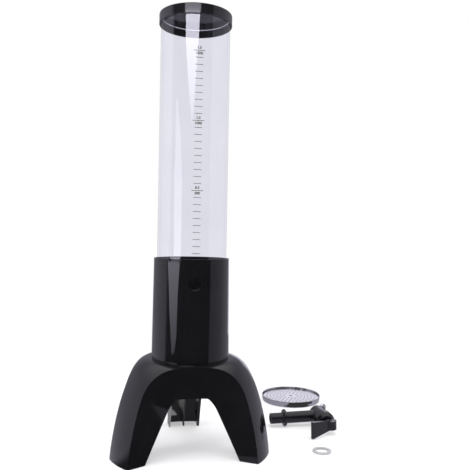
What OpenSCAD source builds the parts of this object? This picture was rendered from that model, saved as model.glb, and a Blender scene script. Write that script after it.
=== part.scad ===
// Beer tower dispenser: a graduated tube on a tripod base, with its tap, washer and drip tray
// laid out beside it. Millimetres. Z is up, the floor is z = 0 and the tower's axis is x = y = 0.
// The tap hole faces -Y.

/* [Tripod] */
// Height of the tripod's flat top
tripod_h = 118; // [110:1:135]
// Outer radius at the floor
foot_r = 105; // [98:1:125]
// Wall of the moulding
tripod_wall = 3; // [2:0.5:4]
// Half the width of a leg
leg_half_w = 22; // [18:1:26]
// Height of the arch's top on the outer face
arch_h = 116; // [108:1:117]
// Height of the arch's top on its inner edge
arch_inner_h = 73; // [60:1:80]
// Radius of the hollow between the feet, at the floor
hollow_r = 82; // [74:1:90]
// How much the hollow narrows for each millimetre of height
hollow_slope = 0.5; // [0.4:0.05:0.6]
// Thickness of the rib inside each leg
rib_t = 2; // [1.5:0.5:3]
// Height of the spigot that centres the sleeve
spigot_h = 6; // [4:1:10]

/* [Sleeve] */
// Height of the base sleeve
sleeve_h = 128; // [115:1:150]
// Outer radius of the sleeve at the tripod
sleeve_r = 50; // [48:0.5:54]
// How much the sleeve narrows to its top
sleeve_taper = 1.2; // [0:0.2:2]
// Wall of the sleeve
sleeve_wall = 2.5; // [2:0.25:3]
// Distance of the tap hole's centre below the sleeve's top
hole_drop = 31; // [28:1:36]
// Diameter of the tap hole
hole_d = 15.6; // [14:0.2:18]

/* [Reservoir cup] */
// Wall and floor of the cup
cup_wall = 2.4; // [2:0.2:3]
// Distance of the cup's floor below the hole's centre
cup_depth = 17; // [14:1:24]
// Depth of the tube's end below the sleeve's top
tube_seat = 18; // [15:1:20]
// Thickness of the flat gasket under the tube
gasket_t = 2; // [1:0.5:3]
// Length of the collar that grips the tap's shank
collar_len = 8; // [5:1:12]

/* [Base screws] */
// Distance of each screw from the axis
screw_ring = 36; // [33:1:38]
// Diameter of the screws' shank
screw_d = 4; // [3:0.5:5]
// Length of the screws under the head
screw_len = 20; // [14:1:26]

/* [Tube] */
// Outer radius of the tube
tube_r = 45; // [43:0.5:46]
// Wall of the tube
tube_wall = 2; // [1.5:0.25:3]
// Length of the tube
tube_len = 330; // [250:5:420]

/* [Lid] */
// Thickness of the lid's top
lid_top = 3; // [2:0.5:4]
// Height of the lid's skirt
lid_skirt = 10; // [6:1:16]
// Wall of the skirt
lid_wall = 2; // [1.5:0.25:3]

/* [Tap body] */
// Radius of the shank's plain end
shank_end_r = 7.6; // [7:0.1:8]
// Length of the shank's plain end
shank_end_len = 19; // [14:1:24]
// Radius of the shank
shank_r = 8.2; // [7.8:0.1:9]
// Distance from the flange to the valve's axis
shank_len = 53; // [45:1:65]
// Radius of the flange
flange_r = 12; // [11:0.5:13]
// Thickness of the flange
flange_t = 4; // [3:0.5:6]
// Bore of the shank
shank_bore_r = 5; // [4:0.5:5.5]
// Radius of the valve's body
body_r = 11.5; // [11:0.5:12]
// Wall of the valve's body
body_wall = 2.5; // [2:0.25:3]
// Length of the body below the shank's axis
body_low = 12; // [11:1:16]
// Length of the body above the shank's axis
body_high = 15; // [13:1:20]

/* [Spout] */
// Angle of the spout from the valve's axis
spout_lean = 25; // [10:1:30]
// Outer radius of the steel spout
spout_r = 4.6; // [4:0.1:5]
// Wall of the steel spout
spout_wall = 0.6; // [0.4:0.1:1]
// Length of the steel spout that stands out of its socket
spout_out = 19; // [12:1:30]
// Length of the spout's socket from the shank's axis
socket_len = 26; // [24:1:34]
// Radius of the spout's socket
socket_r = 6.8; // [6.2:0.1:7.5]

/* [Valve] */
// Radius of the bonnet
bonnet_r = 13.5; // [12.5:0.5:15]
// Height of the bonnet
bonnet_h = 18; // [16:1:24]
// Thickness of the ring between the bonnet and the body
ring_t = 1.2; // [0.8:0.2:2]
// Radius of the valve's stem
stem_r = 2.4; // [2:0.2:3]
// Radius of the rubber plunger
plunger_r = 6.5; // [6:0.25:7.5]
// Thickness of the rubber plunger
plunger_t = 3.5; // [2.5:0.5:5]
// Radius of the wire of the closing spring
wire_r = 0.5; // [0.4:0.1:0.7]
// Radius of the closing spring
spring_r = 4.2; // [3.8:0.1:5]
// Turns of the closing spring
spring_turns = 6; // [4:1:8]

/* [Lever] */
// Radius of the round heel that lifts the stem
heel_r = 8; // [7.5:0.25:9]
// Width of the heel
heel_w = 12; // [11:0.5:15]
// Rise of the lever's pin above the bonnet
pin_rise = 6; // [5:0.5:7]
// Radius of the lever's pin
pin_r = 1.5; // [1:0.25:2]
// Slope of the paddle above the shank
paddle_slope = 29; // [20:1:40]
// Length of the paddle from the pin
paddle_len = 34; // [26:1:45]
// Width of the paddle's end
paddle_w = 23; // [18:1:25]
// Thickness of the paddle
paddle_t = 4; // [3:0.5:6]

/* [Washer] */
// Outer radius of the washer
washer_r = 12; // [11:0.5:14]
// Thickness of the washer
washer_t = 2.5; // [2:0.5:4]

/* [Drip tray] */
// Outer radius of the tray
tray_r = 49; // [44:1:56]
// Height of the tray
tray_h = 10; // [8:0.5:16]
// Thickness of the steel sheet
sheet_t = 0.8; // [0.6:0.1:1.2]
// Depth of the grid below the rim
grid_drop = 3; // [2:0.5:5]
// Diameter of the grid's small holes
grid_hole_d = 2.6; // [2:0.1:3.2]
// Diameter of the finger hole
finger_hole_d = 5; // [4:0.5:7]
// Rings of small holes
grid_rings = 6; // [4:1:6]

/* [Layout] */
// The tray's place beside the tower
tray_x = 190; // [180:5:260]
// The tray's place behind the tower's axis
tray_y = 195; // [150:5:240]
// The tap's place beside the tower
tap_x = 198; // [190:2:260]
// The tap's place behind the tower's axis
tap_y = 65; // [50:5:80]
// The washer's place beside the tower
washer_x = 168; // [150:2:240]
// The washer's place in front of the tower's axis
washer_y = -40; // [-70:5:-30]

/* [Hidden] */
$fn = 96;

// Clearances
slip = 0.3;          // between curved faces of separate bodies
run = 0.05;          // a shaft in its hole
eps = 0.01;          // overshoot of a cut past the face it opens
over = 1;            // reach of a cut past the outside of a piece

// Tripod
bell_bend = 1.3;     // how late the bell's side begins to curve in
bell_round = 0.4;    // how full the bell's shoulder is
bell_steps = 20;
leg_angles = [60, 180, 300];
arch_angles = [0, 120, 240];
v_apex = leg_half_w / sin(60);        // where the faces of two neighbouring legs would meet
arch_far = 130;      // distance of the cut's outer end from the axis
arch_mid = 60;       // distance at which the outer arch is measured
arch_near = 40;      // distance of the arch's inner edge
inner_curve_h = 18;  // height of the arch's curved part on its inner edge
outer_curve_h = 36;  // the same at the distance of the outer arch
inner_flat = 9;      // half the flat at the arch's top on its inner edge
outer_flat = 24;     // the same at the distance of the outer arch
curve_steps = 10;
plate_t = 0.5;
rib_h = tripod_h - tripod_wall;

// Sleeve and cup
sleeve_z = tripod_h;
sleeve_top = sleeve_z + sleeve_h;
sleeve_top_r = sleeve_r - sleeve_taper;
bore_r = sleeve_top_r - sleeve_wall;  // the sleeve's straight bore
hole_z = sleeve_top - hole_drop;
cup_r = bore_r - slip;
cup_bore_r = tube_r - tube_wall;
cup_z = hole_z - cup_depth;
cup_top = sleeve_top - tube_seat - gasket_t;
ledge_h = 5;
ledge_r = screw_ring + 3;
tube_z = cup_top + gasket_t;
tube_top = tube_z + tube_len;
boss_r = 5;
boss_h = 24;
web_t = 2;           // web that joins a boss to the sleeve
head_r = screw_d * 0.95;
head_h = screw_d * 0.6;
head_room = head_r + 2;
hex_d = screw_d * 0.8;
pilot_r = screw_d / 2;

// Lid
lid_bore_r = tube_r + slip;
lid_r = lid_bore_r + lid_wall;
edge = 0.8;          // small chamfer on moulded rims

// Tap, in its own frame: the valve's axis is Z, the shank runs to -X and the lever is on top
flange_x = -shank_len;
end_x = flange_x - flange_t / 2 - shank_end_len;
chamber_r = body_r - body_wall;
seat_z = -4;
seat_r = 3.6;
ring_z = body_high;
bonnet_z = ring_z + ring_t;
bonnet_top = bonnet_z + bonnet_h;
bonnet_wall = 2.5;
stem_rise = 3;                        // the stem's end above its pin
rubber_below = 1.5;                   // the plunger's rubber under the stem's end
bonnet_taper_h = 5;
bonnet_top_r = 9.5;
neck_h = 4;                           // bonnet's plug inside the body
stem_bore_r = stem_r + run;
pin_z = bonnet_top + pin_rise + slip;
stem_top = pin_z + stem_rise;
heel_dx = 3.14;                       // the heel's centre from the pin, so that it lifts evenly
heel_dz = heel_r - pin_rise;
plunger_z = seat_z;
collar_z = plunger_z + plunger_t;     // the stem's collar on the plunger
collar_t = 1.5;
collar_r = 5.5;
spring_z = collar_z + collar_t + wire_r;
seal_t = 1.5;
seal_r = 5;
seal_z = bonnet_top - bonnet_wall - seal_t;
spring_top = seal_z - wire_r;
spring_steps = 20;
wire_sides = 6;
stem_z = plunger_z + rubber_below;
spout_bore_r = spout_r + run;
spout_in = 14;                        // length of steel tube inside the socket
tap_roll = asin((bonnet_r - flange_r) / shank_len);
slot_w = 2 * stem_r + 2 * slip;
slot_top = 4.2;                       // reach of the slot above the pin
paddle_rise = 4.5;                    // the paddle's middle above the pin
root_w = heel_w - 1.2;                // the paddle's width inside the heel

// Washer
washer_bore_r = shank_end_r + slip;
soft_edge = 0.4;

// Tray
rim_r = 0.9;
bend = 1.2;
wall_r = tray_r - rim_r;
tray_foot_r = wall_r - 1;
skirt_r = tray_foot_r - bend - slip;
grid_z = tray_h - grid_drop - sheet_t;
ring_first = 12;
ring_pitch = 5.7;

// Radius of the bell's face at height z, for a bell lessened by inset
function bell_r(z, inset) =
    sleeve_r - inset
    + (foot_r - sleeve_r) * pow(1 - pow(z / (tripod_h - inset), bell_bend), bell_round);

// Heights of the bell's rings, closer together towards the top where it curves most
function bell_z(i, inset) = (tripod_h - inset) * sin(90 * i / bell_steps);

// Points from a to b through a quarter ellipse
function quarter(cx, cz, rx, rz, steps) =
    [for (i = [0:steps]) [cx + rx * cos(90 * i / steps), cz + rz * sin(90 * i / steps)]];

// A value at distance d, on the line through its values at the arch's inner and outer edges
function along_arch(d, near, mid) = near + (mid - near) * (d - arch_near) / (arch_mid - arch_near);

module bell(inset) {
    rotate_extrude()
        polygon(concat([[0, 0]],
                       [for (i = [0:bell_steps]) [bell_r(bell_z(i, inset), inset), bell_z(i, inset)]],
                       [[0, tripod_h - inset]]));
}

// One arch's outline, standing at distance d in front of the axis
module arch_plate(d, grow) {
    spring_h = along_arch(d, arch_inner_h - inner_curve_h, arch_h - outer_curve_h);
    top = along_arch(d, arch_inner_h, arch_h) + grow;
    half = (d - v_apex) * tan(60) + grow;
    flat = along_arch(d, inner_flat, outer_flat);
    right = quarter(flat, spring_h, half - flat, top - spring_h, curve_steps);
    left = [for (i = [len(right) - 1:-1:0]) [-right[i][0], right[i][1]]];
    translate([0, -d, 0]) rotate([90, 0, 0]) linear_extrude(plate_t)
        polygon(concat([[half, -over]], right, left, [[-half, -over]]));
}

// The space under an arch, widening outwards between two legs
module arch_space(grow) {
    hull() {
        arch_plate(arch_near - grow / 2, grow);
        arch_plate(arch_far, grow);
    }
}

module tripod_base() {
    color("#1b1b1e") difference() {
        union() {
            difference() {
                bell(0);
                difference() {
                    translate([0, 0, -eps]) bell(tripod_wall);
                    for (a = arch_angles) rotate([0, 0, a]) arch_space(2 * tripod_wall);
                    for (a = leg_angles) rotate([0, 0, a])
                        translate([-rib_t / 2, -foot_r, 0]) cube([rib_t, foot_r, rib_h]);
                }
            }
            translate([0, 0, tripod_h - eps])
                cylinder(r = bore_r - slip, h = spigot_h + eps);
        }
        for (a = arch_angles) rotate([0, 0, a]) arch_space(0);
        translate([0, 0, -over])
            cylinder(r1 = hollow_r + over * hollow_slope,
                     r2 = hollow_r - arch_inner_h * hollow_slope, h = arch_inner_h + over);
        translate([0, 0, arch_inner_h - over])
            cylinder(r = screw_ring + head_room, h = tripod_h - tripod_wall - arch_inner_h + over);
        translate([0, 0, tripod_h])
            cylinder(r = bore_r - slip - tripod_wall, h = spigot_h + over);
        for (a = leg_angles) rotate([0, 0, a]) translate([0, -screw_ring, tripod_h - tripod_wall - over])
            cylinder(r = screw_d / 2 + run, h = tripod_wall + 2 * over);
    }
}

module base_sleeve() {
    color("#17171a") difference() {
        translate([0, 0, sleeve_z]) union() {
            difference() {
                cylinder(r1 = sleeve_r, r2 = sleeve_top_r, h = sleeve_h);
                translate([0, 0, -over]) cylinder(r = bore_r, h = sleeve_h + 2 * over);
            }
            difference() {
                translate([0, 0, cup_z - ledge_h - sleeve_z]) cylinder(r = bore_r + eps, h = ledge_h);
                translate([0, 0, cup_z - ledge_h - sleeve_z - over])
                    cylinder(r = ledge_r, h = ledge_h + 2 * over);
            }
            for (a = leg_angles) rotate([0, 0, a]) {
                translate([0, -screw_ring, 0]) cylinder(r = boss_r, h = boss_h);
                translate([-web_t / 2, -bore_r - eps, spigot_h + over])
                    cube([web_t, bore_r - screw_ring, boss_h - spigot_h - over]);
            }
        }
        translate([0, 0, hole_z]) rotate([90, 0, 0]) cylinder(d = hole_d, h = sleeve_r + over);
        for (a = leg_angles) rotate([0, 0, a]) translate([0, -screw_ring, sleeve_z - over])
            cylinder(r = pilot_r, h = screw_len + over);
    }
}

module reservoir_cup() {
    color("#2a2a2e") difference() {
        union() {
            translate([0, 0, cup_z]) difference() {
                cylinder(r = cup_r, h = cup_top - cup_z);
                translate([0, 0, cup_wall]) cylinder(r = cup_bore_r, h = cup_top - cup_z);
            }
            translate([0, -cup_bore_r + collar_len - 1, hole_z]) rotate([90, 0, 0])
                cylinder(r = hole_d / 2 + cup_wall, h = collar_len);
        }
        translate([0, 0, hole_z]) rotate([90, 0, 0]) cylinder(d = hole_d - 2 * slip, h = cup_r + over);
    }
}

module base_screws() {
    color("silver") for (a = leg_angles) rotate([0, 0, a])
        translate([0, -screw_ring, tripod_h - tripod_wall]) {
            cylinder(r = pilot_r - run, h = screw_len);
            difference() {
                translate([0, 0, -head_h]) cylinder(r = head_r, h = head_h);
                translate([0, 0, -head_h - over]) cylinder(d = hex_d, h = head_h / 2 + over, $fn = 6);
            }
        }
}

module tube_gasket() {
    color("#c9c9c4") translate([0, 0, cup_top]) difference() {
        cylinder(r = tube_r, h = gasket_t);
        translate([0, 0, -over]) cylinder(r = cup_bore_r, h = gasket_t + 2 * over);
    }
}

module measuring_tube() {
    color("#dfe0ea", 0.45) translate([0, 0, tube_z]) difference() {
        cylinder(r = tube_r, h = tube_len);
        translate([0, 0, -over]) cylinder(r = tube_r - tube_wall, h = tube_len + 2 * over);
    }
}

module lid() {
    color("#1e1e21") translate([0, 0, tube_top - lid_skirt]) rotate_extrude() polygon([
        [0, lid_skirt], [lid_bore_r, lid_skirt], [lid_bore_r, 0], [lid_r - edge / 2, 0],
        [lid_r, edge / 2], [lid_r, lid_skirt + lid_top - edge], [lid_r - edge, lid_skirt + lid_top],
        [0, lid_skirt + lid_top]]);
}

// Lays the tap on the floor, on the sides of its bonnet and of its flange
module tap_place() {
    translate([tap_x, tap_y, bonnet_r]) rotate([90, 0, 0]) rotate([0, 0, tap_roll]) children();
}

// Turns a cylinder that stands on z = 0 to run out along the spout
module spout_axis(from) {
    rotate([0, 180 - spout_lean, 0]) translate([0, 0, from]) children();
}

module tap_body() {
    color("#222225") tap_place() difference() {
        union() {
            translate([0, 0, -body_low]) cylinder(r = body_r, h = body_low + body_high);
            rotate([0, -90, 0]) cylinder(r = shank_r, h = shank_len);
            translate([flange_x - flange_t / 2, 0, 0]) rotate([0, 90, 0]) {
                translate([0, 0, edge]) cylinder(r = flange_r, h = flange_t - 2 * edge);
                cylinder(r1 = flange_r - edge, r2 = flange_r, h = edge);
                translate([0, 0, flange_t - edge]) cylinder(r1 = flange_r, r2 = flange_r - edge, h = edge);
            }
            translate([end_x + edge, 0, 0]) rotate([0, 90, 0])
                cylinder(r = shank_end_r, h = shank_end_len + flange_t / 2);
            translate([end_x, 0, 0]) rotate([0, 90, 0])
                cylinder(r1 = shank_end_r - edge, r2 = shank_end_r, h = edge);
            spout_axis(0) cylinder(r = socket_r, h = socket_len);
        }
        translate([0, 0, seat_z]) cylinder(r = chamber_r, h = body_high - seat_z + over);
        translate([end_x - over, 0, 0]) rotate([0, 90, 0]) cylinder(r = shank_bore_r, h = -end_x + over);
        spout_axis(-seat_z - over) cylinder(r = seat_r, h = socket_len);
        spout_axis(socket_len - spout_in) cylinder(r = spout_bore_r, h = spout_in + over);
    }
}

module spout_tube() {
    color("#d8d8da") tap_place() spout_axis(socket_len - spout_in) difference() {
        cylinder(r = spout_r, h = spout_in + spout_out);
        translate([0, 0, -over]) cylinder(r = spout_r - spout_wall, h = spout_in + spout_out + 2 * over);
    }
}

module bonnet_ring() {
    color("black") tap_place() translate([0, 0, ring_z]) difference() {
        cylinder(r = bonnet_r - edge, h = ring_t);
        translate([0, 0, -over]) cylinder(r = chamber_r, h = ring_t + 2 * over);
    }
}

module tap_bonnet() {
    color("#222225") tap_place() difference() {
        union() {
            translate([0, 0, bonnet_z]) cylinder(r = bonnet_r, h = bonnet_h - bonnet_taper_h);
            translate([0, 0, bonnet_top - bonnet_taper_h])
                cylinder(r1 = bonnet_r, r2 = bonnet_top_r, h = bonnet_taper_h);
            translate([0, 0, bonnet_z - neck_h - ring_t])
                cylinder(r = chamber_r - run, h = neck_h + ring_t + eps);
        }
        translate([0, 0, bonnet_z - neck_h - ring_t - over])
            cylinder(r = chamber_r - bonnet_wall, h = bonnet_h + neck_h + ring_t + over - bonnet_wall);
        translate([0, 0, bonnet_top - bonnet_wall - over])
            cylinder(r = stem_bore_r, h = bonnet_wall + 2 * over);
    }
}

module stem_seal() {
    color("black") tap_place() translate([0, 0, seal_z]) difference() {
        cylinder(r = seal_r, h = seal_t);
        translate([0, 0, -over]) cylinder(r = stem_bore_r, h = seal_t + 2 * over);
    }
}

module valve_stem() {
    color("#e8e8e6") tap_place() difference() {
        union() {
            translate([0, 0, stem_z]) cylinder(r = stem_r, h = stem_top - stem_z);
            translate([0, 0, collar_z]) cylinder(r = collar_r, h = collar_t);
        }
        translate([0, -stem_r - over, pin_z]) rotate([-90, 0, 0])
            cylinder(r = pin_r, h = 2 * stem_r + 2 * over);
    }
}

module plunger_seal() {
    color("#b03a2e") tap_place() difference() {
        translate([0, 0, plunger_z]) cylinder(r = plunger_r, h = plunger_t);
        translate([0, 0, stem_z]) cylinder(r = stem_r, h = plunger_t);
    }
}

// One ring of points round the spring's wire, at step i along its helix
function wire_ring(i) =
    let (turn = 360 * i / spring_steps, rise = (spring_top - spring_z) * i / (spring_turns * spring_steps))
    [for (k = [0:wire_sides - 1])
        let (out = spring_r + wire_r * cos(360 * k / wire_sides), up = wire_r * sin(360 * k / wire_sides))
        [out * cos(turn), out * sin(turn), spring_z + rise + up]];

// Faces of a tube through rings of wire_sides points each
function tube_faces(rings) = concat(
    [[for (k = [0:wire_sides - 1]) k]],
    [for (i = [0:rings - 2], k = [0:wire_sides - 1])
        let (next = (k + 1) % wire_sides)
        each [[i * wire_sides + k, (i + 1) * wire_sides + k, (i + 1) * wire_sides + next],
              [i * wire_sides + k, (i + 1) * wire_sides + next, i * wire_sides + next]]],
    [[for (k = [wire_sides - 1:-1:0]) (rings - 1) * wire_sides + k]]);

module valve_spring() {
    color("silver") tap_place()
        polyhedron([for (i = [0:spring_turns * spring_steps]) each wire_ring(i)],
                   tube_faces(spring_turns * spring_steps + 1));
}

module lever_pin() {
    color("silver") tap_place() translate([0, -heel_w / 2, pin_z]) rotate([-90, 0, 0])
        cylinder(r = pin_r, h = heel_w);
}

module lever() {
    color("#1c1c1f") tap_place() translate([0, 0, pin_z]) difference() {
        union() {
            translate([heel_dx, heel_w / 2, heel_dz]) rotate([90, 0, 0]) cylinder(r = heel_r, h = heel_w);
            translate([0, 0, paddle_rise]) rotate([0, paddle_slope, 0]) translate([0, 0, -paddle_t / 2])
                linear_extrude(paddle_t) polygon([[heel_r, -root_w / 2], [-paddle_len, -paddle_w / 2],
                                                  [-paddle_len, paddle_w / 2], [heel_r, root_w / 2]]);
        }
        translate([-slot_w / 2, -slot_w / 2, -heel_r])
            cube([3 * heel_r, slot_w, heel_r + slot_w / 2 + slip]);
        translate([0, slot_w / 2, 0]) rotate([90, 0, 0]) cylinder(r = slot_top, h = slot_w);
        translate([0, heel_w, 0]) rotate([90, 0, 0]) cylinder(r = pin_r + run, h = 2 * heel_w);
    }
}

module seal_washer() {
    color("#e9e9ee", 0.8) translate([washer_x, washer_y, 0]) rotate_extrude() polygon([
        [washer_bore_r + soft_edge, 0], [washer_r - soft_edge, 0], [washer_r, soft_edge],
        [washer_r, washer_t - soft_edge], [washer_r - soft_edge, washer_t],
        [washer_bore_r + soft_edge, washer_t], [washer_bore_r, washer_t - soft_edge],
        [washer_bore_r, soft_edge]]);
}

module tray_dish() {
    color("#d0d0d2") translate([tray_x, tray_y, 0]) rotate_extrude() {
        polygon([[0, 0], [tray_foot_r - bend, 0], [tray_foot_r, bend], [wall_r, tray_h - rim_r],
                 [wall_r - sheet_t, tray_h - rim_r], [tray_foot_r - sheet_t, bend],
                 [tray_foot_r - bend, sheet_t], [0, sheet_t]]);
        translate([tray_r - rim_r, tray_h - rim_r]) circle(r = rim_r, $fn = 24);
    }
}

module tray_grid() {
    color("#c8c8cc") translate([tray_x, tray_y, 0]) difference() {
        translate([0, 0, sheet_t]) cylinder(r = skirt_r, h = grid_z);
        cylinder(r = skirt_r - sheet_t, h = grid_z);
        cylinder(d = finger_hole_d, h = tray_h);
        for (k = [0:grid_rings - 1], i = [0:6 * (k + 2) - 1])
            rotate([0, 0, 60 * i / (k + 2)]) translate([ring_first + k * ring_pitch, 0, 0])
                cylinder(d = grid_hole_d, h = tray_h, $fn = 16);
    }
}

tripod_base();
base_sleeve();
reservoir_cup();
base_screws();
tube_gasket();
measuring_tube();
lid();
tap_body();
spout_tube();
tap_bonnet();
bonnet_ring();
stem_seal();
valve_stem();
plunger_seal();
valve_spring();
lever_pin();
lever();
seal_washer();
tray_dish();
tray_grid();
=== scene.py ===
"""Beer tower dispenser: looks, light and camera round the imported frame. Metres, Z up, tap hole to -Y."""
import math

import bmesh
import bpy
from mathutils import Euler, Matrix, Vector


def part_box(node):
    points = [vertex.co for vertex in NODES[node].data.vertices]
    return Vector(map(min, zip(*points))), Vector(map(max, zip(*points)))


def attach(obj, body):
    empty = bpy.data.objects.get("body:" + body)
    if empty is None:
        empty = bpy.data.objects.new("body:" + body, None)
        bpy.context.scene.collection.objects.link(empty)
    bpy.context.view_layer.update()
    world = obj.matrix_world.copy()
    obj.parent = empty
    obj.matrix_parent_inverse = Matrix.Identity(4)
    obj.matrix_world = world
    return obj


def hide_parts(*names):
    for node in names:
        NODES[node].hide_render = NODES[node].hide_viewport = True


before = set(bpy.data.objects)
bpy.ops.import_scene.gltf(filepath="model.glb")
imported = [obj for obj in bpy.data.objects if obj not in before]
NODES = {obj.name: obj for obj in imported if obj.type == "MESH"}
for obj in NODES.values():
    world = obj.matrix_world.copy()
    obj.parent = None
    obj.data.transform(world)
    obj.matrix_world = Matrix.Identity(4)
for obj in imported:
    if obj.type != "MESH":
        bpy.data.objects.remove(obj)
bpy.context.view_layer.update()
MM = 0.001

# Meshes: points nearer than this are one, and a rounded corner uses up at most this share of a side
WELD = 0.01 * MM
CAD_WELD = 0.005 * MM
CORNER_SHARE = 0.48

# The part of its range that a noise texture mostly keeps to, and the part that a colour blend uses
NOISE_SPAN = (0.3, 0.7)
BLEND_SPAN = (0.35, 0.65)

# Textures: how finely the colour drifts and metal is polished, per metre, and how deep their bumps are
DRIFT_SCALE = 28.0
POLISH_SCALE = 300.0
GRAIN_DEPTH = 0.2 * MM
SILICONE_DEPTH = 0.1 * MM
POLISH_DEPTH = 0.05 * MM

# Camera: the tower stands left of the frame's middle and leans with the camera's small roll
PHOTO_PX = 470
FOCAL_PX = 585.0
CAMERA_AZIMUTH = math.radians(-5.5)
CAMERA_DISTANCE = 0.765
CAMERA_HEIGHT = 0.2785
CAMERA_YAW = math.radians(-4.18)
CAMERA_PITCH = math.radians(-0.12)
CAMERA_ROLL = math.radians(1.0)
SENSOR_MM = 36.0

# Brightness of the studio round the object: degrees from the front, to the right, and level
ROOM_STRENGTH = 2.5
CEILING = (0.48, 0.48, 0.49)
CEILING_LOW, CEILING_HIGH = 0.45, 0.9
ROOM_TINT = (1.0, 0.98, 1.14)
ROOM_LEVELS = ((-180, 0.12), (-150, 0.14), (-115, 0.26), (-88, 0.29), (-78, 0.03), (50, 0.03),
               (52, 0.165), (110, 0.205), (150, 0.13), (180, 0.12))
FLOOR_CENTRE_Y = -0.035
FLOOR_HALF = 6.0
FLOOR_COLOUR = (0.92, 0.92, 0.93)
# The floor fades into the white between these distances from the tower
FADE_NEAR, FADE_FAR = 0.10, 0.55
FADE_START = 0.45

# Distances of the glowing cards from the tower's axis
WINDOW_DISTANCE = 1.5
PANEL_DISTANCE = 0.55
SKY_DISTANCE = 0.65
CARD_COLUMNS = 13
CARD_LIFT = 0.5 * MM

# Tripod, as the solid has it
LEG_HALF_W = 22 * MM
LEG_ANGLE = math.radians(60)
ARCH_TURN = math.radians(120)
ARCH_H = 116 * MM
ARCH_INNER_H = 73 * MM
ARCH_NEAR = 40 * MM
ARCH_MID = 60 * MM
FOOT_R = 105 * MM
HOLLOW_R = 82 * MM
HOLLOW_SLOPE = 0.5
TRIPOD_WALL = 3 * MM
FOOT_LIFT = 0.25 * MM
RIB_T = 2 * MM
ARCH_FLAT_NEAR = 9 * MM
ARCH_FLAT_MID = 24 * MM
ARCH_CURVE_NEAR = 18 * MM
ARCH_CURVE_MID = 36 * MM
DECK_RINGS = (38 * MM, 20 * MM, 0.5 * MM)
BELL_BEND = 1.3
BELL_ROUND = 0.4
RIB_NEAR = 44 * MM
RIB_HIGH = 0.93
RIB_CLEAR = 1.2 * TRIPOD_WALL

# The tripod's mesh: how far the search for an arch's end goes, and the steps along each direction
ARCH_FAR = FOOT_R + 25 * MM
SEARCH_STEPS = 40
ARCH_STEPS, VAULT_DEPTH, LEG_ACROSS, CAP_STEPS, RIB_STEPS = 44, 14, 20, 8, 24
ARCH_STRAIGHT, ARCH_CURVED = 0.45, 0.45

# The tap in its own frame, in millimetres: Z runs up the valve from the shank's axis
BONNET_R, BONNET_CONE_R = 13.5, 9.5
BONNET_LOW, BONNET_CONE_Z, BONNET_HIGH = 16.2, 29.2, 34.2
PLUG_R, PLUG_LOW = 8.95, 11
SPRING_BORE_R, STEM_HOLE_R, SEAL_POCKET_Z = 6.45, 2.45, 31.7
RING_R, RING_HOLE_R, RING_LOW = 12.7, 9, 15
SPOUT_R, SPOUT_BORE_R, SPOUT_START, SPOUT_END = 4.6, 4.0, 12, 45

# Tapered ribs round the spout's socket, along the spout
SOCKET_RIBS = 8
SOCKET_RIB_HALF_T = 0.55 * MM
SOCKET_RIB_ROOT = 5.5 * MM
SOCKET_RIB_LOW, SOCKET_RIB_HIGH = 12 * MM, 24.5 * MM
SOCKET_RIB_LOW_R, SOCKET_RIB_HIGH_R = 8.8 * MM, 6.9 * MM

# How the tap lies: on the sides of its bonnet and of its flange, which is 1.5 smaller in radius
FLANGE_LESS, FLANGE_REACH = 1.5, 53
TAP_ROLL = math.asin(FLANGE_LESS / FLANGE_REACH)
SPOUT_LEAN = math.radians(25)
SHANK_Y = 65 * MM

# Lid, washer and drip tray, in millimetres
LID_TOP, LID_PLAY = 3, 0.3
WASHER_HOLE_R = 7.9
SHEET_T = 0.8
DISH_FOOT_R, DISH_WALL_R = 47.1, 48.1
DISH_STEP_LOW, DISH_STEP_HIGH = 3.6, 4.8
DISH_FLOOR_T, DISH_RIM_H = 0.6, 1.7
DISH_INSET = 0.018
DISH_DRAFT, DISH_EASE, DISH_RISE = 0.35, 0.05, 0.2

# The marks on the tube
MARK_ZERO_Z = 0.2447
MARK_STEP = 8.61 * MM
MARK_COUNT = 30
MARKS_PER_LABEL = 10
LABELS = {10: ("0.5", "500"), 20: ("1.0", "1000"), 30: ("1.5", "1500")}
MARK_LONG = 14.4 * MM
MARK_SHORT = 9.6 * MM
MARK_T = 0.75 * MM
INK_RISE = 0.12 * MM
INK_T = 0.8 * INK_RISE
LABEL_SIZE = 4.4 * MM
LABEL_BOLD = 0.2 * MM
LABEL_GAP = 3.4 * MM
MARK_TURN = math.radians(1.0)
MARK_COLUMNS = 9


def upright(node):
    """Radius, lowest and highest z of a turned CAD node that stands upright, in millimetres."""
    low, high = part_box(node)
    return (high[0] - low[0]) / 2 / MM, low[2] / MM, high[2] / MM


def middle(node):
    """The middle of a CAD node's box."""
    low, high = (Vector(corner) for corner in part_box(node))
    return (low + high) / 2


def on_floor(node):
    """Moves a piece made at the origin to where the CAD node stands on the floor."""
    place = middle(node)
    return Matrix.Translation((place.x, place.y, 0))


TUBE_R, TUBE_LOW, TUBE_HIGH = upright("measuring_tube")
TUBE_WALL = 2
SLEEVE_R, SLEEVE_LOW, _ = upright("base_sleeve")
TOP_R, TOP_Z = SLEEVE_R * MM, SLEEVE_LOW * MM


# ---------------------------------------------------------------- materials

def new_material(name):
    """An empty node material with its Principled shader."""
    material = bpy.data.materials.new(name)
    material.use_nodes = True
    nodes = material.node_tree.nodes
    return material, nodes, material.node_tree.links, nodes["Principled BSDF"]


def noise(nodes, links, scale, detail=4.0, rough=0.5):
    """A noise texture in object coordinates, in metres."""
    coords = nodes.new("ShaderNodeTexCoord")
    texture = nodes.new("ShaderNodeTexNoise")
    texture.inputs["Scale"].default_value = scale
    texture.inputs["Detail"].default_value = detail
    texture.inputs["Roughness"].default_value = rough
    links.new(coords.outputs["Object"], texture.inputs["Vector"])
    return texture


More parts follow.
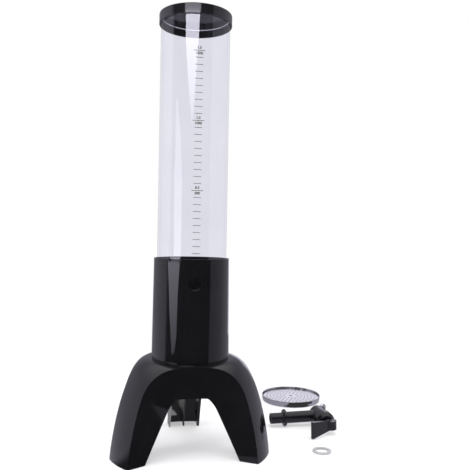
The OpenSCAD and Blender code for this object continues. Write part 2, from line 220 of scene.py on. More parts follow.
def combined(nodes, links, operation, first, second):
    """What a math node makes of two values, each a plain number or another node's output."""
    node = nodes.new("ShaderNodeMath")
    node.operation = operation
    for value, socket in zip((first, second), node.inputs):
        if isinstance(value, (int, float)):
            socket.default_value = value
        else:
            links.new(value, socket)
    return node.outputs[0]


def remapped(nodes, links, source, before, after, smooth=False):
    """Maps the range before onto the range after and holds it at both ends."""
    remap = nodes.new("ShaderNodeMapRange")
    if smooth:
        remap.interpolation_type = "SMOOTHSTEP"
    remap.inputs["From Min"].default_value, remap.inputs["From Max"].default_value = before
    remap.inputs["To Min"].default_value, remap.inputs["To Max"].default_value = after
    links.new(source, remap.inputs["Value"])
    return remap.outputs["Result"]


def mixed(nodes, links, share, first, second):
    """Blends two shaders: only the first at a share of 0, only the second at 1."""
    mix = nodes.new("ShaderNodeMixShader")
    for value, socket in zip((share, first, second), mix.inputs):
        links.new(value, socket)
    return mix.outputs[0]


def seen_straight(nodes, links, path):
    """1 for rays from the camera, also where they go on through something clear, and 0 for the rest."""
    return combined(nodes, links, "MAXIMUM", path.outputs["Is Camera Ray"],
                    path.outputs["Is Transmission Ray"])


def ranged(nodes, links, source, low, high):
    """Maps a noise texture's value onto low to high."""
    return remapped(nodes, links, source, NOISE_SPAN, (low, high))


def tinted(nodes, links, source, dark, light):
    """Blends between two colours by a noise texture's value."""
    ramp = nodes.new("ShaderNodeValToRGB")
    for stop, place, colour in zip(ramp.color_ramp.elements, BLEND_SPAN, (dark, light)):
        stop.position = place
        stop.color = (*colour, 1)
    links.new(source, ramp.inputs["Fac"])
    return ramp.outputs["Color"]


def bumped(nodes, links, shader, source, strength, distance):
    """Adds a bump from a height value."""
    bump = nodes.new("ShaderNodeBump")
    bump.inputs["Strength"].default_value = strength
    bump.inputs["Distance"].default_value = distance
    links.new(source, bump.inputs["Height"])
    links.new(bump.outputs["Normal"], shader.inputs["Normal"])


def moulded(name, dark, light, rough_low, rough_high, grain, bump, ior=1.5):
    """Moulded plastic: slight colour drift, uneven gloss and a fine surface texture."""
    material, nodes, links, shader = new_material(name)
    drift = noise(nodes, links, DRIFT_SCALE)
    fine = noise(nodes, links, grain, 3.0)
    links.new(tinted(nodes, links, drift.outputs["Fac"], dark, light), shader.inputs["Base Color"])
    links.new(ranged(nodes, links, fine.outputs["Fac"], rough_low, rough_high), shader.inputs["Roughness"])
    bumped(nodes, links, shader, fine.outputs["Fac"], bump, GRAIN_DEPTH)
    shader.inputs["IOR"].default_value = ior
    return material


def metal(name, dark, light, rough_low, rough_high, stretch, bump):
    """Bright metal with faint polishing lines stretched along one axis."""
    material, nodes, links, shader = new_material(name)
    coords = nodes.new("ShaderNodeTexCoord")
    mapping = nodes.new("ShaderNodeMapping")
    mapping.inputs["Scale"].default_value = stretch
    texture = nodes.new("ShaderNodeTexNoise")
    texture.inputs["Scale"].default_value = POLISH_SCALE
    texture.inputs["Detail"].default_value = 5.0
    links.new(coords.outputs["Object"], mapping.inputs["Vector"])
    links.new(mapping.outputs["Vector"], texture.inputs["Vector"])
    links.new(tinted(nodes, links, texture.outputs["Fac"], dark, light), shader.inputs["Base Color"])
    links.new(ranged(nodes, links, texture.outputs["Fac"], rough_low, rough_high),
              shader.inputs["Roughness"])
    bumped(nodes, links, shader, texture.outputs["Fac"], bump, POLISH_DEPTH)
    shader.inputs["Metallic"].default_value = 1.0
    return material


def clear_acrylic(name, mirrored):
    """The tube's acrylic lets light straight through, tinted; its outer face also mirrors a share,
    which grows to five times as much where it is seen edge-on."""
    material, nodes, links, _ = new_material(name)
    drift = noise(nodes, links, 14.0, 2.0)
    clear = nodes.new("ShaderNodeBsdfTransparent")
    links.new(tinted(nodes, links, drift.outputs["Fac"], (0.935, 0.935, 0.962), (0.948, 0.948, 0.972)),
              clear.inputs["Color"])
    mirror = nodes.new("ShaderNodeBsdfGlossy")
    mirror.inputs["Color"].default_value = (1, 1, 1, 1)
    links.new(ranged(nodes, links, drift.outputs["Fac"], 0.0, 0.02), mirror.inputs["Roughness"])
    slant = nodes.new("ShaderNodeLayerWeight")
    edge_on = combined(nodes, links, "POWER", slant.outputs["Facing"], 4)
    share = remapped(nodes, links, edge_on, (0, 1), (mirrored, 5 * mirrored))
    geometry = nodes.new("ShaderNodeNewGeometry")
    outside = combined(nodes, links, "SUBTRACT", 1, geometry.outputs["Backfacing"])
    seen = combined(nodes, links, "MULTIPLY", share, outside)
    surface = mixed(nodes, links, seen, clear.outputs["BSDF"], mirror.outputs["BSDF"])
    links.new(surface, nodes["Material Output"].inputs["Surface"])
    return material


def cut_acrylic(name, dark, light, glow):
    """The tube's sawn ends, painted pale and given a painted glow that stands in for the light the wall
    leads to them.
    """
    material = moulded(name, dark, light, 0.2, 0.4, 2000.0, 0.1)
    shader = material.node_tree.nodes["Principled BSDF"]
    shader.inputs["Emission Color"].default_value = (0.9, 0.9, 0.95, 1)
    shader.inputs["Emission Strength"].default_value = glow
    return material


def silicone(name, colour, clear):
    """Soft rubber that lets some light through."""
    material, nodes, links, shader = new_material(name)
    drift = noise(nodes, links, 150.0)
    darker = tuple(0.93 * part for part in colour)
    links.new(tinted(nodes, links, drift.outputs["Fac"], darker, colour), shader.inputs["Base Color"])
    links.new(ranged(nodes, links, drift.outputs["Fac"], 0.35, 0.5), shader.inputs["Roughness"])
    bumped(nodes, links, shader, drift.outputs["Fac"], 0.15, SILICONE_DEPTH)
    shader.inputs["Transmission Weight"].default_value = clear
    shader.inputs["Subsurface Weight"].default_value = 0.2
    shader.inputs["Subsurface Radius"].default_value = (0.002, 0.002, 0.002)
    return material


GLOSS_BLACK = moulded("gloss_black", (0.0032, 0.0030, 0.0034), (0.0046, 0.0043, 0.0050),
                      0.03, 0.06, 900.0, 0.006)
LID_BLACK = moulded("lid_black", (0.0055, 0.0052, 0.0060), (0.0080, 0.0076, 0.0088),
                    0.05, 0.10, 900.0, 0.01, 1.62)
SATIN_BLACK = moulded("satin_black", (0.006, 0.006, 0.007), (0.010, 0.010, 0.012),
                      0.16, 0.24, 2600.0, 0.06)
DARK_MOULDING = moulded("dark_moulding", (0.003, 0.003, 0.0035), (0.005, 0.005, 0.006),
                        0.35, 0.5, 1500.0, 0.1)
# Inside of the tripod's shell and its ribs: the same black plastic, painted lighter than the outer black
# as painted light on these inner faces
INNER_BLACK = moulded("inner_black", (0.014, 0.014, 0.015), (0.020, 0.020, 0.021),
                      0.05, 0.10, 1100.0, 0.02)
BLACK_RUBBER = moulded("black_rubber", (0.004, 0.004, 0.004), (0.008, 0.008, 0.008),
                       0.5, 0.7, 3000.0, 0.15)
PALE_RUBBER = silicone("pale_rubber", (0.62, 0.62, 0.60), 0.0)
RED_RUBBER = silicone("red_rubber", (0.35, 0.06, 0.04), 0.0)
ACETAL = moulded("acetal", (0.72, 0.72, 0.70), (0.80, 0.80, 0.78), 0.3, 0.4, 1200.0, 0.05)
WASHER_SILICONE = silicone("washer_silicone", (0.46, 0.46, 0.47), 0.15)
POLISHED = metal("polished_steel", (0.60, 0.60, 0.62), (0.74, 0.74, 0.76), 0.06, 0.14, (1, 1, 6), 0.02)
PRESSED = metal("pressed_steel", (0.55, 0.54, 0.56), (0.68, 0.67, 0.69), 0.16, 0.26, (6, 1, 1), 0.04)
WIRE = metal("spring_steel", (0.45, 0.45, 0.47), (0.60, 0.60, 0.62), 0.2, 0.35, (1, 1, 1), 0.05)
ACRYLIC = clear_acrylic("clear_acrylic", 0.10)
ACRYLIC_INNER = clear_acrylic("acrylic_inner", 0.0)
# Painted light: the pale colour and faint glow of the tube's sawn ends
CUT_EDGE = cut_acrylic("cut_edge", (0.75, 0.75, 0.80), (0.90, 0.90, 0.94), 0.12)
INK = moulded("mark_ink", (0.055, 0.055, 0.040), (0.085, 0.085, 0.065), 0.5, 0.6, 4000.0, 0.1)
TICK_INK = moulded("tick_ink", (0.09, 0.09, 0.09), (0.13, 0.13, 0.125), 0.5, 0.6, 4000.0, 0.1)

FINISHES = {
    "tripod_base": GLOSS_BLACK, "base_sleeve": GLOSS_BLACK, "lid": LID_BLACK,
    "reservoir_cup": DARK_MOULDING, "base_screws": WIRE, "tube_gasket": PALE_RUBBER,
    "measuring_tube": ACRYLIC, "tap_body": SATIN_BLACK, "tap_bonnet": SATIN_BLACK,
    "lever": SATIN_BLACK, "bonnet_ring": BLACK_RUBBER, "stem_seal": BLACK_RUBBER,
    "spout_tube": POLISHED, "valve_stem": ACETAL, "plunger_seal": RED_RUBBER,
    "valve_spring": WIRE, "lever_pin": WIRE, "seal_washer": WASHER_SILICONE,
    "tray_dish": POLISHED, "tray_grid": PRESSED,
}


def dress_nodes():
    """Gives every CAD node its finish."""
    for name, material in FINISHES.items():
        for slot in NODES[name].material_slots:
            slot.material = material


# ---------------------------------------------------------------- meshes

def added(name, data):
    """A new object in the scene."""
    obj = bpy.data.objects.new(name, data)
    bpy.context.scene.collection.objects.link(obj)
    return obj


def piece(name, verts, faces, material, body, smooth=40.0):
    """A new object of the given mesh, riding on a body."""
    mesh = bpy.data.meshes.new(name)
    mesh.from_pydata([tuple(v) for v in verts], [], faces)
    mesh.validate()
    mesh.materials.append(material)
    built = bmesh.new()
    built.from_mesh(mesh)
    bmesh.ops.remove_doubles(built, verts=built.verts, dist=WELD)
    bmesh.ops.recalc_face_normals(built, faces=built.faces)
    built.to_mesh(mesh)
    built.free()
    mesh.shade_smooth()
    mesh.set_sharp_from_angle(angle=math.radians(smooth))
    obj = added(name, mesh)
    even_shading(obj)
    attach(obj, body)
    return obj


def even_shading(obj):
    """Keeps large faces shaded flat or truly round beside their small rounded edges."""
    normals = obj.modifiers.new("shading", "WEIGHTED_NORMAL")
    normals.keep_sharp = True


def round_edges(obj, width, segments=3, angle=30.0):
    """Rounds the edges at which faces meet at more than the angle."""
    edge = obj.modifiers.new("edges", "BEVEL")
    edge.width = width
    edge.segments = segments
    edge.limit_method = "ANGLE"
    edge.angle_limit = math.radians(angle)


def grid_faces(rows, columns, offset=0):
    """Quads between rows of points laid out one after another."""
    return [(offset + r * columns + c, offset + r * columns + c + 1,
             offset + (r + 1) * columns + c + 1, offset + (r + 1) * columns + c)
            for r in range(rows - 1) for c in range(columns - 1)]


def add_sheet(verts, faces, rows):
    """Adds a sheet of quads through rows of points."""
    faces.extend(grid_faces(len(rows), len(rows[0]), len(verts)))
    for row in rows:
        verts.extend(row)


def rounded(corners, steps=4):
    """A closed profile of (radius, height, rounding) corners, with each corner rounded."""
    points = []
    for i, (r, z, rounding) in enumerate(corners):
        here = Vector((r, z))
        before = Vector(corners[i - 1][:2]) - here
        after = Vector(corners[(i + 1) % len(corners)][:2]) - here
        if not rounding:
            points.append(here)
            continue
        reach = rounding / math.tan(before.angle(after) / 2)
        start = here + before.normalized() * min(reach, before.length * CORNER_SHARE)
        end = here + after.normalized() * min(reach, after.length * CORNER_SHARE)
        for k in range(steps + 1):
            t = k / steps
            points.append(start * (1 - t) ** 2 + here * 2 * t * (1 - t) + end * t * t)
    return points


def lathe(name, corners, material, body, slot, place=Matrix.Identity(4), steps=160, smooth=40.0):
    """A turned piece: its profile in millimetres, swung round Z and then put in its place."""
    profile = rounded(corners)
    verts = []
    for k in range(steps):
        angle = 2 * math.pi * k / steps
        for point in profile:
            r, z = point * MM
            verts.append(place @ Vector((r * math.cos(angle), r * math.sin(angle), z)))
    count = len(profile)
    faces = [(k * count + i, k * count + (i + 1) % count,
              (k + 1) % steps * count + (i + 1) % count, (k + 1) % steps * count + i)
             for k in range(steps) for i in range(count)]
    obj = piece(name, verts, faces, material, body, smooth)
    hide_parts(slot)
    return obj


def remade(node, body, width, angle=30.0, merge=True):
    """The CAD node's own form with its faces joined, so that its edges can be rounded."""
    mesh = NODES[node].data.copy()
    built = bmesh.new()
    built.from_mesh(mesh)
    bmesh.ops.remove_doubles(built, verts=built.verts, dist=CAD_WELD)
    if merge:
        bmesh.ops.dissolve_limit(built, angle_limit=math.radians(0.5), verts=built.verts,
                                 edges=built.edges)
    bmesh.ops.recalc_face_normals(built, faces=built.faces)
    clean = bpy.data.meshes.new(node + "_form")
    built.to_mesh(clean)
    built.free()
    bpy.data.meshes.remove(mesh)
    clean.materials.append(FINISHES[node])
    clean.shade_smooth()
    clean.set_sharp_from_angle(angle=math.radians(angle))
    obj = added(node + "_form", clean)
    round_edges(obj, width, angle=angle)
    even_shading(obj)
    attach(obj, body)
    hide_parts(node)
    return obj


def on_tube(x, z):
    """The ink's outer face on the tube's front, at arc length x and height z."""
    angle = x / (TUBE_R * MM) + MARK_TURN
    r = TUBE_R * MM + INK_RISE
    return Vector((r * math.sin(angle), -r * math.cos(angle), z))


# ---------------------------------------------------------------- camera, light and floor

def make_camera():
    """Camera at the photograph's viewpoint."""
    data = bpy.data.cameras.new("camera")
    data.sensor_width = SENSOR_MM
    data.lens = FOCAL_PX / PHOTO_PX * SENSOR_MM
    data.clip_end = 50
    camera = added("camera", data)
    camera.location = (CAMERA_DISTANCE * math.sin(CAMERA_AZIMUTH),
                       -CAMERA_DISTANCE * math.cos(CAMERA_AZIMUTH), CAMERA_HEIGHT)
    aim = Euler((math.pi / 2 + CAMERA_PITCH, 0, CAMERA_AZIMUTH + CAMERA_YAW)).to_matrix().to_4x4()
    aim = aim @ Matrix.Rotation(CAMERA_ROLL, 4, "Z")
    camera.rotation_euler = aim.to_euler()
    bpy.context.scene.camera = camera


def area_light(name, place, target, size, power, spread=180.0):
    """A soft rectangular lamp aimed at a point."""
    data = bpy.data.lights.new(name, "AREA")
    data.shape = "RECTANGLE"
    data.size, data.size_y = size
    data.energy = power
    data.spread = math.radians(spread)
    lamp = added(name, data)
    lamp.location = place
    direction = Vector(target) - Vector(place)
    lamp.rotation_euler = direction.to_track_quat("-Z", "Y").to_euler()
    lamp.visible_glossy = False


def room_level(nodes, links, x, y):
    """The studio's brightness in the direction of x and y, going round the object."""
    turn = combined(nodes, links, "ARCTAN2", x, combined(nodes, links, "MULTIPLY", y, -1))
    ramp = nodes.new("ShaderNodeValToRGB")
    stops = ramp.color_ramp.elements
    stops.remove(stops[1])
    stops[0].position = 0
    for degrees, level in ROOM_LEVELS:
        stop = stops.new((degrees + 180) / 360) if degrees > -180 else stops[0]
        stop.color = (*(level * part for part in ROOM_TINT), 1)
    links.new(remapped(nodes, links, turn, (-math.pi, math.pi), (0, 1)), ramp.inputs["Fac"])
    return ramp.outputs["Color"]


def make_world():
    """White behind the object and through the tube; a studio of dark and light sides for the rest."""
    world = bpy.data.worlds.new("studio")
    bpy.context.scene.world = world
    world.use_nodes = True
    nodes, links = world.node_tree.nodes, world.node_tree.links
    nodes.clear()
    coords = nodes.new("ShaderNodeTexCoord")
    split = nodes.new("ShaderNodeSeparateXYZ")
    links.new(coords.outputs["Generated"], split.inputs["Vector"])
    above = remapped(nodes, links, split.outputs["Z"], (CEILING_LOW, CEILING_HIGH), (0, 1), smooth=True)
    ceiling = nodes.new("ShaderNodeMix")
    ceiling.data_type = "RGBA"
    ceiling.inputs["B"].default_value = (*CEILING, 1)
    links.new(above, ceiling.inputs["Factor"])
    links.new(room_level(nodes, links, split.outputs["X"], split.outputs["Y"]), ceiling.inputs["A"])
    room = nodes.new("ShaderNodeBackground")
    room.inputs["Strength"].default_value = ROOM_STRENGTH
    links.new(ceiling.outputs["Result"], room.inputs["Color"])
    white = nodes.new("ShaderNodeBackground")
    white.inputs["Color"].default_value = (1, 1, 1, 1)
    straight = seen_straight(nodes, links, nodes.new("ShaderNodeLightPath"))
    output = nodes.new("ShaderNodeOutputWorld")
    links.new(mixed(nodes, links, straight, room.outputs[0], white.outputs[0]), output.inputs["Surface"])


def make_floor():
    """A pale floor that keeps the object's shadow and fades into the white behind it."""
    half = FLOOR_HALF
    mesh = bpy.data.meshes.new("floor")
    mesh.from_pydata([(-half, -half, 0), (half, -half, 0), (half, half, 0), (-half, half, 0)], [],
                     [(0, 1, 2, 3)])
    floor = added("floor", mesh)
    material, nodes, links, shader = new_material("pale_floor")
    shader.inputs["Base Color"].default_value = (*FLOOR_COLOUR, 1)
    shader.inputs["Roughness"].default_value = 0.9
    shader.inputs["Specular IOR Level"].default_value = 0.1
    glow = nodes.new("ShaderNodeEmission")
    glow.inputs["Color"].default_value = (1, 1, 1, 1)
    coords = nodes.new("ShaderNodeTexCoord")
    length = nodes.new("ShaderNodeVectorMath")
    length.operation = "LENGTH"
    links.new(coords.outputs["Object"], length.inputs[0])
    fade = remapped(nodes, links, length.outputs["Value"], (FADE_NEAR, FADE_FAR), (FADE_START, 1),
                    smooth=True)
    path = nodes.new("ShaderNodeLightPath")
    share = combined(nodes, links, "MULTIPLY", fade, seen_straight(nodes, links, path))
    lit = mixed(nodes, links, share, shader.outputs[0], glow.outputs[0])
    reflected = floor_reflection(nodes, links, coords)
    surface = mixed(nodes, links, path.outputs["Is Glossy Ray"], lit, reflected)
    links.new(surface, nodes["Material Output"].inputs["Surface"])
    mesh.materials.append(material)


def floor_reflection(nodes, links, coords):
    """What the floor shows to glossy faces: the studio's brightness, going round the tripod's middle."""
    split = nodes.new("ShaderNodeSeparateXYZ")
    links.new(coords.outputs["Object"], split.inputs["Vector"])
    y = combined(nodes, links, "SUBTRACT", split.outputs["Y"], FLOOR_CENTRE_Y)
    glow = nodes.new("ShaderNodeEmission")
    glow.inputs["Strength"].default_value = ROOM_STRENGTH
    links.new(room_level(nodes, links, split.outputs["X"], y), glow.inputs["Color"])
    return glow.outputs[0]


def make_lights():
    """Two tall softboxes and one overhead, which light the matt surfaces and the floor."""
    area_light("softbox_left", (-1.05, -0.55, 0.45), (0, 0, 0.3), (0.5, 1.1), 16)
    area_light("softbox_right", (1.25, -0.35, 0.45), (0, 0, 0.3), (0.8, 1.2), 12)
    area_light("softbox_top", (0.1, -0.3, 1.5), (0.08, 0.05, 0), (0.9, 0.9), 12)


def make_card(name, distance, rows, low, high):
    """A glowing sheet curved round the tower, which only reflections show. Each row of it is a height
    and the two directions, in degrees from the front, between which it reaches."""
    verts = []
    for z, start, end in rows:
        for c in range(CARD_COLUMNS):
            turn = math.radians(start + (end - start) * c / (CARD_COLUMNS - 1))
            verts.append((distance * math.sin(turn), -distance * math.cos(turn), z))
    material, nodes, links, _ = new_material(name)
    coords = nodes.new("ShaderNodeTexCoord")
    split = nodes.new("ShaderNodeSeparateXYZ")
    links.new(coords.outputs["Generated"], split.inputs["Vector"])
    glow = nodes.new("ShaderNodeEmission")
    glow.inputs["Color"].default_value = (*ROOM_TINT, 1)
    links.new(remapped(nodes, links, split.outputs["Z"], (0, 1), (low, high)), glow.inputs["Strength"])
    card_object(name, verts, grid_faces(len(rows), CARD_COLUMNS), glow, material, nodes, links)


def make_cards():
    """What the glossy faces mirror: the window over the camera and the light that narrows below it,
    a tall panel at the left, the sky behind the tray, the lit floor under the tripod's left half and
    the dark one that the tray's wall mirrors."""
    make_card("wedge", WINDOW_DISTANCE, [(0.68, -13, -11), (0.75, -19, -7), (0.83, -26, -3.5),
                                         (0.92, -32, 0), (1.00, -37, 4)], 0.65, 2.8)
    make_card("window", WINDOW_DISTANCE, [(1.00, -37, 5), (1.10, -38, 7)], 6.0, 6.0)
    make_card("upper_window", WINDOW_DISTANCE, [(1.10, -39.5, 9.5), (1.60, -39.5, 9.5)], 2.6, 2.6)
    make_card("panel", PANEL_DISTANCE, [(0.035, -59, -53), (0.075, -63.5, -46), (0.16, -72.5, -44),
                                        (0.227, -79, -42)], 1.0, 2.85)
    make_card("upper_panel", PANEL_DISTANCE, [(0.228, -64, -40), (0.39, -68, -40.5), (0.47, -65, -46),
                                              (0.56, -66, -59)], 1.6, 0.8)
    make_card("tray_sky", SKY_DISTANCE, [(0.04, 140, 168), (0.22, 140, 168)], 1.1, 1.1)
    make_floor_card("under", (-0.036, -0.004), (0.0, 0.085), 4.0)
    make_floor_card("tray_shade", (0.165, 0.300), (0.095, 0.150), 0.05)


def card_object(name, verts, faces, glow, material, nodes, links):
    """Links a glowing card that camera, shadows and matt surfaces don't see."""
    mesh = bpy.data.meshes.new(name)
    mesh.from_pydata(verts, [], faces)
    mesh.materials.append(material)
    links.new(glow.outputs[0], nodes["Material Output"].inputs["Surface"])
    card = added(name, mesh)
    card.visible_camera = False
    card.visible_diffuse = False
    card.visible_transmission = False
    card.visible_shadow = False


def make_floor_card(name, xs, ys, strength):
    """A rectangle just over the floor, of one brightness, which only reflections show."""
    material, nodes, links, _ = new_material(name)
    glow = nodes.new("ShaderNodeEmission")
    glow.inputs["Strength"].default_value = strength
    corners = ((xs[0], ys[0]), (xs[1], ys[0]), (xs[1], ys[1]), (xs[0], ys[1]))
    verts = [(x, y, CARD_LIFT) for x, y in corners]
    card_object(name, verts, [(0, 1, 2, 3)], glow, material, nodes, links)


# ---------------------------------------------------------------- marks on the tube

def printed(name, verts, faces, material):
    """A thin raised print that rides on the tube."""
    obj = piece(name, verts, faces, material, "tube")
    thick = obj.modifiers.new("ink", "SOLIDIFY")
    thick.thickness = INK_T


def ink_bar(verts, faces, width, z):
    """Adds one bar, curved round the tube."""
    places = [width * (c / (MARK_COLUMNS - 1) - 0.5) for c in range(MARK_COLUMNS)]
    add_sheet(verts, faces, [[on_tube(x, level) for x in places]
                             for level in (z - MARK_T / 2, z + MARK_T / 2)])


def make_marks():
    """The tube's graduation: short ticks, and long ones at the numbered levels."""
    for name, numbered, width, material in (("tick_marks", False, MARK_SHORT, TICK_INK),
                                            ("level_marks", True, MARK_LONG, INK)):
        verts, faces = [], []
        for i in range(1, MARK_COUNT + 1):
            if (i % MARKS_PER_LABEL == 0) == numbered:
                ink_bar(verts, faces, width, MARK_ZERO_Z + i * MARK_STEP)
        printed(name, verts, faces, material)


def make_labels():
    """Litres over each numbered mark and millilitres under it."""
    for level, (over, under) in LABELS.items():
        level_z = MARK_ZERO_Z + level * MARK_STEP
        make_label("label_%s_over" % level, over, level_z + LABEL_GAP)
        make_label("label_%s_under" % level, under, level_z - LABEL_GAP)


def make_label(name, text, z):
    """A number printed on the tube, bent round it."""
    data = bpy.data.curves.new(name, "FONT")
    data.body = text
    data.size = LABEL_SIZE
    data.align_x = "CENTER"
    data.align_y = "CENTER"
    data.offset = LABEL_BOLD
    flat = added(name + "_flat", data)
    mesh = bpy.data.meshes.new_from_object(flat)
    bpy.data.objects.remove(flat)
    built = bmesh.new()
    built.from_mesh(mesh)
    bmesh.ops.remove_doubles(built, verts=built.verts, dist=CAD_WELD)
    bmesh.ops.triangulate(built, faces=built.faces)
    verts = [on_tube(v.co.x, z + v.co.y) for v in built.verts]
    faces = [tuple(v.index for v in f.verts) for f in built.faces]
    built.free()
    printed(name, verts, faces, INK)


# ---------------------------------------------------------------- tripod

def bell_radius(z):
    """Radius of the tripod's outer face at height z."""
    part = max(0.0, 1 - (z / TOP_Z) ** BELL_BEND)
    return TOP_R + (FOOT_R - TOP_R) * part ** BELL_ROUND


def arch_edge(t, d):
    """Half width and height of the arch's outline at distance d from the axis: t runs from 0 at the
    floor over a straight and a curved stretch to 1 at the arch's middle."""
    def along(near, mid):
        return near + (mid - near) * (d - ARCH_NEAR) / (ARCH_MID - ARCH_NEAR)
    half = (d - LEG_HALF_W / math.sin(LEG_ANGLE)) * math.tan(LEG_ANGLE)
    flat = along(ARCH_FLAT_NEAR, ARCH_FLAT_MID)
    spring_z = along(ARCH_INNER_H - ARCH_CURVE_NEAR, ARCH_H - ARCH_CURVE_MID)
    top = along(ARCH_INNER_H, ARCH_H)
    if t < ARCH_STRAIGHT:
        return half, spring_z * t / ARCH_STRAIGHT
    if t < ARCH_STRAIGHT + ARCH_CURVED:
        angle = (t - ARCH_STRAIGHT) / ARCH_CURVED * math.pi / 2
        return flat + (half - flat) * math.cos(angle), spring_z + (top - spring_z) * math.sin(angle)
    return flat * (1 - (t - ARCH_STRAIGHT - ARCH_CURVED) / (1 - ARCH_STRAIGHT - ARCH_CURVED)), top


def past_bell(x, d, z):
    """Whether a point of an arch lies outside the bell."""
    return math.hypot(x, d) > bell_radius(z)


def past_hollow(x, d, z):
    """Whether a point of an arch lies outside the space between the feet."""
    return math.hypot(x, d) > HOLLOW_R - HOLLOW_SLOPE * z or z > ARCH_INNER_H


def arch_end(t, past):
    """The distance from the axis at which the arch's outline at t gets past a border."""
    low, high = ARCH_NEAR, ARCH_FAR
    for _ in range(SEARCH_STEPS):
        d = (low + high) / 2
        x, z = arch_edge(t, d)
        if past(x, d, z):
            high = d
        else:
            low = d
    return (low + high) / 2


def vault_rows(angle, side, ts, inner, outer):
    """Half an arch's vault, from the space between the feet out to the bell. The angle is the
    direction in which the arch looks."""
    rows = []
    for t, near, far in zip(ts, inner, outer):
        row = []
        for k in range(VAULT_DEPTH + 1):
            d = near + (far - near) * k / VAULT_DEPTH
            x, z = arch_edge(t, d)
            row.append(Vector((side * x * math.cos(angle) + d * math.sin(angle),
                               side * x * math.sin(angle) - d * math.cos(angle), z)))
        rows.append(row)
    return rows


def ring_row(r, z, start, end):
    """Points round the axis between two directions."""
    turns = [start + (end - start) * k / LEG_ACROSS for k in range(LEG_ACROSS + 1)]
    return [Vector((r * math.sin(turn), -r * math.cos(turn), z)) for turn in turns]


def leg_rows(angle, ts, outer):
    """A leg's outer face: the bell between the arch that looks at the angle and the next one."""
    rows = []
    for t, far in zip(ts, outer):
        x, z = arch_edge(t, far)
        from_arch = math.atan2(x, far)
        rows.append(ring_row(bell_radius(z), z, angle + from_arch, angle + ARCH_TURN - from_arch))
    return rows


def deck_rows(angle, low):
    """A third of the bell above the arches, and of the flat top."""
    heights = [low + (TOP_Z - low) * math.sin(math.pi / 2 * k / CAP_STEPS) for k in range(CAP_STEPS + 1)]
    rings = [(bell_radius(z), z) for z in heights] + [(r, TOP_Z) for r in DECK_RINGS]
    return [ring_row(r, z, angle, angle + ARCH_TURN) for r, z in rings]


def make_tripod():
    """The tripod as one smooth shell: leg faces, the vaults between them and the flat top."""
    ts = [i / ARCH_STEPS for i in range(ARCH_STEPS + 1)]
    outer = [arch_end(t, past_bell) for t in ts]
    inner = [arch_end(t, past_hollow) for t in ts]
    _, arch_top = arch_edge(1.0, outer[-1])
    verts, faces = [], []
    for angle in (0, ARCH_TURN, 2 * ARCH_TURN):
        for side in (1, -1):
            add_sheet(verts, faces, vault_rows(angle, side, ts, inner, outer))
        add_sheet(verts, faces, leg_rows(angle, ts, outer))
        add_sheet(verts, faces, deck_rows(angle, arch_top))
    for vert in verts:
        vert.z = max(vert.z, FOOT_LIFT)
    shell = piece("tripod_shell", verts, faces, GLOSS_BLACK, "base", 30.0)
    thick = shell.modifiers.new("wall", "SOLIDIFY")
    thick.thickness = TRIPOD_WALL
    thick.offset = -1
    thick.use_even_offset = True
    # The wall's inner faces take the inner black, which is painted lighter as painted light
    thick.material_offset = 1
    shell.data.materials.append(INNER_BLACK)
    round_edges(shell, 1.0 * MM, angle=50)
    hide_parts("tripod_base")


def make_ribs():
    """The rib that stands inside each leg, from the hollow between the feet to the leg's outer wall."""
    rows = []
    for i in range(RIB_STEPS + 1):
        z = RIB_HIGH * TOP_Z * i / RIB_STEPS
        near = max(HOLLOW_R - HOLLOW_SLOPE * z, RIB_NEAR)
        rows.append((near, max(bell_radius(z) - RIB_CLEAR, near + 1 * MM), z))
    count = len(rows)
    faces = grid_faces(count, 2) + grid_faces(count, 2, 2 * count)
    for a in range(2 * count - 2):
        faces.append((a, a + 2, a + 2 + 2 * count, a + 2 * count))
    for a in (0, 2 * count - 2):
        faces.append((a, a + 1, a + 1 + 2 * count, a + 2 * count))
    for n in range(3):
        turn = Matrix.Rotation((n + 0.5) * ARCH_TURN, 3, "Z")
        verts = [turn @ Vector((side, -r, z)) for side in (-RIB_T / 2, RIB_T / 2)
                 for near, far, z in rows for r in (near, far)]
        piece("leg_rib_%d" % (n + 1), verts, faces, INNER_BLACK, "base")


# ---------------------------------------------------------------- tower, tap, washer and tray

def make_tower():
    """Sleeve, cup, tube and lid."""
    remade("base_sleeve", "base", 0.5 * MM)
    remade("reservoir_cup", "base", 0.3 * MM)
    bore = TUBE_R - TUBE_WALL
    tube = lathe("tube_wall", [(bore, TUBE_LOW, 0.2), (TUBE_R, TUBE_LOW, 0.3), (TUBE_R, TUBE_HIGH, 0.3),
                               (bore, TUBE_HIGH, 0.3)], ACRYLIC, "tube", "measuring_tube", steps=256)
    for material in (CUT_EDGE, ACRYLIC_INNER):
        tube.data.materials.append(material)
    cut = 0.4 * MM
    for face in tube.data.polygons:
        if not TUBE_LOW * MM + cut <= face.center.z <= TUBE_HIGH * MM - cut:
            face.material_index = 1
        elif face.center.xy.length < (bore + TUBE_R) / 2 * MM:
            face.material_index = 2
    lid_r, lid_low, lid_high = upright("lid")
    skirt_r, top = TUBE_R + LID_PLAY, lid_high - LID_TOP
    lathe("lid_cap", [(0, top, 0), (skirt_r, top, 0.4), (skirt_r, lid_low, 0.2), (lid_r, lid_low, 0.35),
                      (lid_r, lid_high, 0.9), (0, lid_high, 0)], LID_BLACK, "lid", "lid", steps=256)


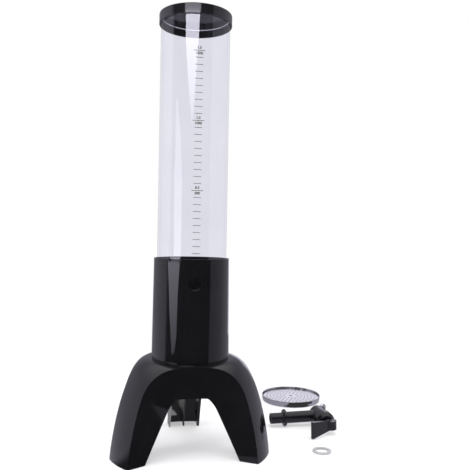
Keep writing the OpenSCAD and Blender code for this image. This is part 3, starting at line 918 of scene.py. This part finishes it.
def make_tap():
    """The tap lies on the floor on the sides of its bonnet and flange."""
    axis = middle("tap_bonnet")
    place = (Matrix.Translation((axis.x, SHANK_Y, axis.z)) @ Matrix.Rotation(math.pi / 2, 4, "X")
             @ Matrix.Rotation(TAP_ROLL, 4, "Z"))
    spout = place @ Matrix.Rotation(math.pi - SPOUT_LEAN, 4, "Y")
    remade("tap_body", "tap", 0.5 * MM, 35.0)
    remade("lever", "lever", 0.6 * MM)
    lathe("bonnet_form", [(BONNET_R, BONNET_LOW, 0.4), (BONNET_R, BONNET_CONE_Z, 2.0),
                          (BONNET_CONE_R, BONNET_HIGH, 0.8), (STEM_HOLE_R, BONNET_HIGH, 0.2),
                          (STEM_HOLE_R, SEAL_POCKET_Z, 0.2), (SPRING_BORE_R, SEAL_POCKET_Z, 0.3),
                          (SPRING_BORE_R, PLUG_LOW, 0.2), (PLUG_R, PLUG_LOW, 0.3),
                          (PLUG_R, BONNET_LOW, 0.1)], SATIN_BLACK, "tap", "tap_bonnet", place, 96)
    lathe("ring_form", [(RING_R, RING_LOW, 0.4), (RING_R, BONNET_LOW, 0.4), (RING_HOLE_R, BONNET_LOW, 0.1),
                        (RING_HOLE_R, RING_LOW, 0.1)], BLACK_RUBBER, "tap", "bonnet_ring", place, 96)
    lathe("spout_form", [(SPOUT_R, SPOUT_START, 0.1), (SPOUT_R, SPOUT_END, 0.2),
                         (SPOUT_BORE_R, SPOUT_END, 0.2), (SPOUT_BORE_R, SPOUT_START, 0.1)],
          POLISHED, "tap", "spout_tube", spout, 96)
    make_socket_ribs(spout)


def make_socket_ribs(spout):
    """Tapered ribs round the spout's socket, running into the valve body."""
    outline = [(SOCKET_RIB_ROOT, SOCKET_RIB_LOW), (SOCKET_RIB_LOW_R, SOCKET_RIB_LOW),
               (SOCKET_RIB_HIGH_R, SOCKET_RIB_HIGH), (SOCKET_RIB_ROOT, SOCKET_RIB_HIGH)]
    sides = (-SOCKET_RIB_HALF_T, SOCKET_RIB_HALF_T)
    faces = [(0, 1, 2, 3), (4, 5, 6, 7)] + [(i, (i + 1) % 4, (i + 1) % 4 + 4, i + 4) for i in range(4)]
    for n in range(SOCKET_RIBS):
        turn = spout @ Matrix.Rotation(2 * math.pi * (n + 0.5) / SOCKET_RIBS, 4, "Z")
        verts = [turn @ Vector((r, side, z)) for side in sides for r, z in outline]
        rib = piece("socket_rib_%d" % (n + 1), verts, faces, SATIN_BLACK, "tap")
        round_edges(rib, 0.3 * MM, segments=2)


def make_washer():
    """The pale ring, flat on the floor."""
    outer_r, low, high = upright("seal_washer")
    lathe("washer_form", [(WASHER_HOLE_R, low, 0.5), (outer_r, low, 0.6), (outer_r, high, 0.6),
                          (WASHER_HOLE_R, high, 0.5)],
          WASHER_SILICONE, "washer", "seal_washer", on_floor("seal_washer"), 96)


def make_tray():
    """The dish, pressed out of sheet with a step in its wall and a rolled rim, and its grid."""
    rim_r, low, high = upright("tray_dish")
    rim_r -= DISH_INSET
    rim_low, hole_r = high - DISH_RIM_H, DISH_WALL_R - SHEET_T - DISH_EASE
    inner_foot_r = DISH_FOOT_R - SHEET_T + 2 * DISH_EASE
    outside = [(0, low, 0), (DISH_FOOT_R, low, 1.6), (DISH_FOOT_R + DISH_DRAFT, DISH_STEP_LOW, 0.6),
               (DISH_WALL_R, DISH_STEP_HIGH, 0.6), (DISH_WALL_R, rim_low - DISH_EASE, 0.3),
               (rim_r, rim_low, 0.8), (rim_r, high, 0.85)]
    inside = [(hole_r, high, 0.8), (hole_r, rim_low, 0.4),
              (hole_r - DISH_EASE, DISH_STEP_HIGH + DISH_RISE, 0.4),
              (inner_foot_r + 2 * DISH_EASE, DISH_STEP_LOW + DISH_RISE, 0.4),
              (inner_foot_r, DISH_FLOOR_T, 1.0), (0, DISH_FLOOR_T, 0)]
    lathe("dish_form", outside + inside, POLISHED, "tray", "tray_dish", on_floor("tray_dish"), 192)
    remade("tray_grid", "grid", 0.25 * MM, 40.0, merge=False)


def make_hidden_parts():
    """Screws and seals, and the valve's stem and pin, with their edges rounded."""
    for node, body, width in (("base_screws", "base", 0.2), ("tube_gasket", "base", 0.2),
                              ("stem_seal", "tap", 0.15), ("valve_stem", "stem", 0.2),
                              ("plunger_seal", "stem", 0.2), ("lever_pin", "stem", 0.15)):
        remade(node, body, width * MM)


# ---------------------------------------------------------------- put together

make_camera()
make_world()
make_floor()
make_lights()
make_cards()
dress_nodes()
make_tower()
make_tap()
make_washer()
make_tray()
make_hidden_parts()
make_marks()
make_labels()
make_tripod()
make_ribs()

scene = bpy.context.scene
scene.view_settings.view_transform = "Standard"
